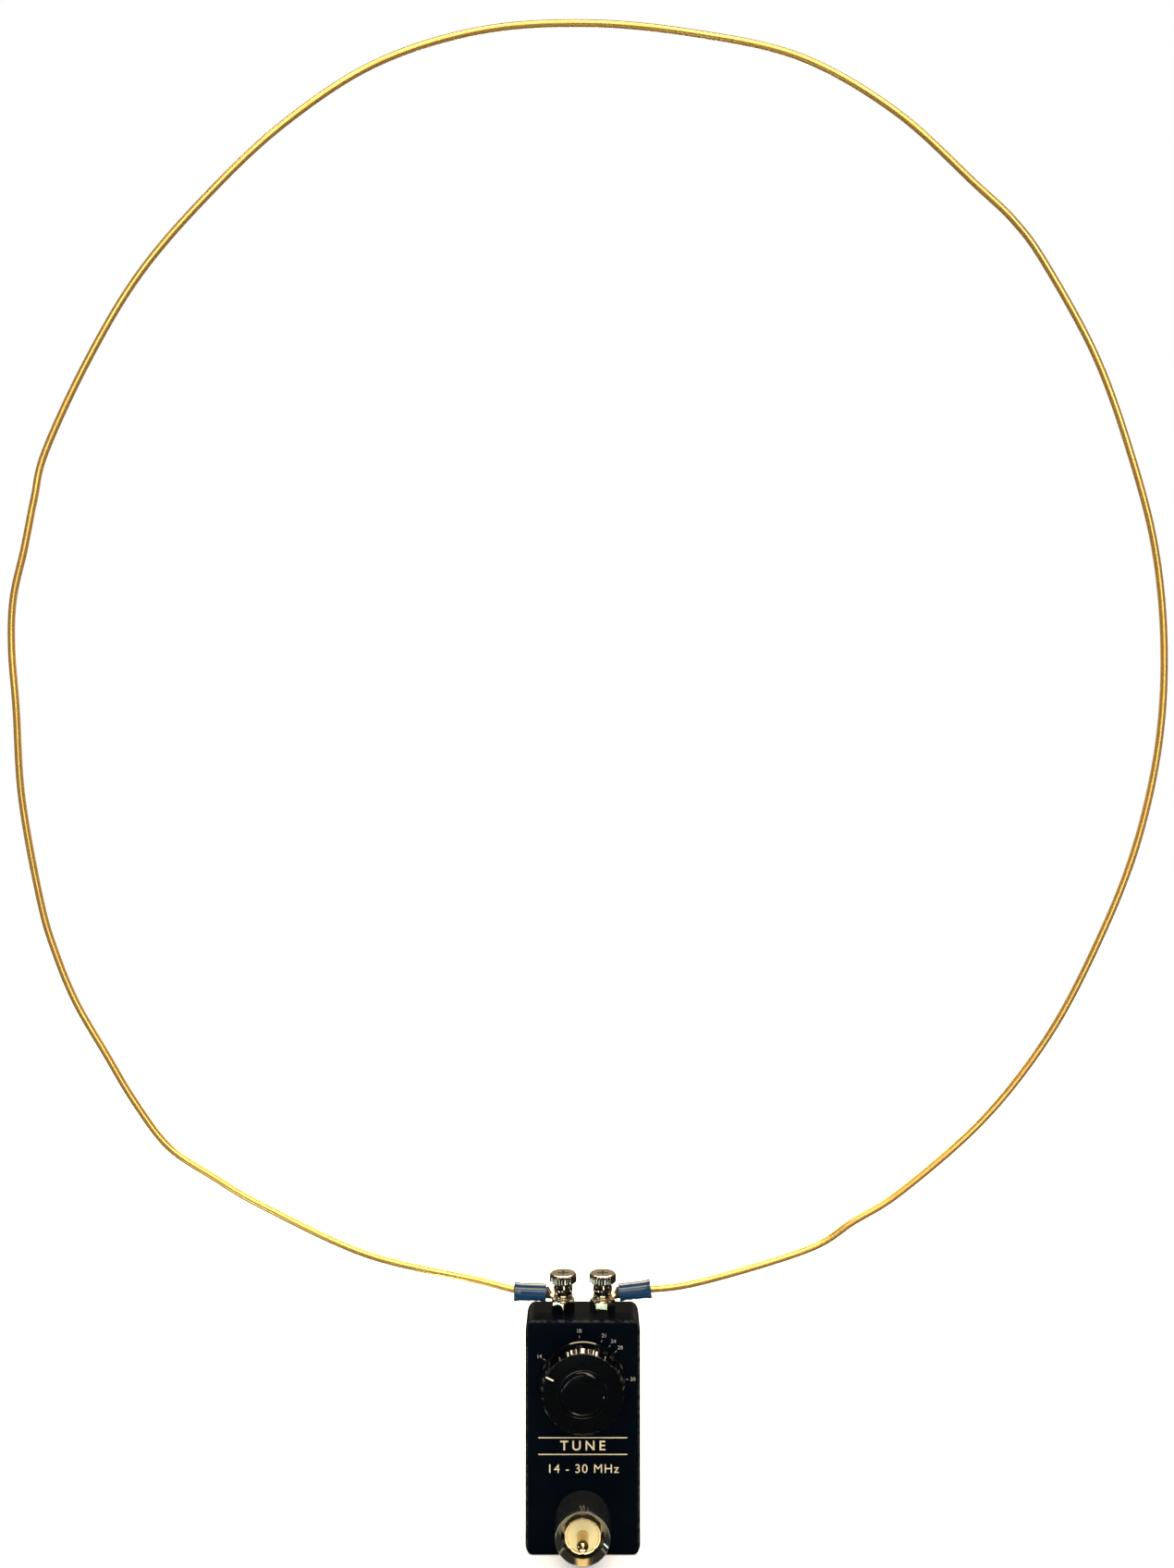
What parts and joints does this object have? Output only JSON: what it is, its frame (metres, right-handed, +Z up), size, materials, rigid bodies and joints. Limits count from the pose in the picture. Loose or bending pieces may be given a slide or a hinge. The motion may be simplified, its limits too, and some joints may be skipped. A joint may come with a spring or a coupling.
{
  "type": "radio loop antenna",
  "caption": "Wire loop on a small black tuner case: ring lugs under thumb screws on top, a tuning knob and a coaxial plug on the front.",
  "frame": {"origin": "on the coaxial plug's axis, at the plug's mating face", "axes": "+Z up from the case to the top of the loop, -Y out of the plug and the front panel, +X to the right"},
  "size_m": [0.411, 0.0415, 0.5394],
  "materials": {
    "case_black": "fine matt black moulding",
    "screw_steel": "bright zinc plate",
    "wire_gold": "bright lacquered golden wire",
    "lug_tin": "tinned copper",
    "sleeve_blue": "soft dark blue vinyl",
    "terminal_nickel": "warm nickel plate",
    "plug_nickel": "nickel plate",
    "ring_dark": "black nickel plate",
    "insulator_cream": "satin cream plastic",
    "pin_gold": "polished",
    "knob_black": "glossy black",
    "pointer_white": "painted line",
    "capacitor_plastic": "milky translucent plastic",
    "plate_brass": "rolled brass",
    "ferrite": "dark grey ferrite",
    "enamel_copper": "enamelled copper",
    "lead_red": "insulated lead",
    "lead_black": "insulated lead"
  },
  "bodies": {
    "case": {"case_front": "case_black", "case_back": "case_black", "cover_screws": "screw_steel", "capacitor_screws": "screw_steel", "loop_wire": "wire_gold", "left_lug": "lug_tin", "right_lug": "lug_tin", "left_tag": "lug_tin", "right_tag": "lug_tin", "post_lock_washers": "lug_tin", "plug_ground_tag": "lug_tin", "rotor_tag": "lug_tin", "left_sleeve": "sleeve_blue", "right_sleeve": "sleeve_blue", "left_post": "terminal_nickel", "right_post": "terminal_nickel", "post_nuts": "terminal_nickel", "plug_body": "plug_nickel", "plug_collar": "plug_nickel", "plug_nut": "plug_nickel", "plug_insulator": "insulator_cream", "plug_pin": "pin_gold", "capacitor_base": "capacitor_plastic", "capacitor_case": "capacitor_plastic", "capacitor_stator": "plate_brass", "toroid_core": "ferrite", "coupling_winding": "enamel_copper", "left_lead": "lead_red", "right_lead": "lead_black"},
    "tuner": {"tuning_knob": "knob_black", "knob_cap": "knob_black", "knob_pointer": "pointer_white", "knob_grub_screw": "screw_steel", "capacitor_shaft": "plate_brass", "capacitor_rotor": "plate_brass"},
    "coupling": {"coupling_ring": "ring_dark"},
    "left_clamp": {"left_washer": "terminal_nickel"},
    "left_screw": {"left_thumb_screw": "terminal_nickel"},
    "right_clamp": {"right_washer": "terminal_nickel"},
    "right_screw": {"right_thumb_screw": "terminal_nickel"}
  },
  "joints": [
    {"name": "knob_turn", "type": "hinge", "parent": "case", "child": "tuner", "pos_m": [0, 0.0135, 0.047], "axis": [0, -1, 0], "range_deg": [-167, 13]},
    {"name": "ring_spin", "type": "hinge", "parent": "case", "child": "coupling", "pos_m": [0, 0.006, 0], "axis": [0, -1, 0], "continuous": true},
    {"name": "left_screw_rise", "type": "slide", "parent": "case", "child": "left_clamp", "axis": [0, 0, 1], "range_m": [0, 0.0048]},
    {"name": "left_screw_turn", "type": "hinge", "parent": "left_clamp", "child": "left_screw", "pos_m": [-0.007, 0.0235, 0.0736], "axis": [0, 0, 1], "range_deg": [0, 2160]},
    {"name": "right_screw_rise", "type": "slide", "parent": "case", "child": "right_clamp", "axis": [0, 0, 1], "range_m": [0, 0.0048]},
    {"name": "right_screw_turn", "type": "hinge", "parent": "right_clamp", "child": "right_screw", "pos_m": [0.007, 0.0235, 0.0736], "axis": [0, 0, 1], "range_deg": [0, 2160]}
  ],
  "couplings": [
    {"joint": "left_screw_turn", "follows": "left_screw_rise", "rad_per_m": 7854},
    {"joint": "right_screw_turn", "follows": "right_screw_rise", "rad_per_m": 7854}
  ]
}
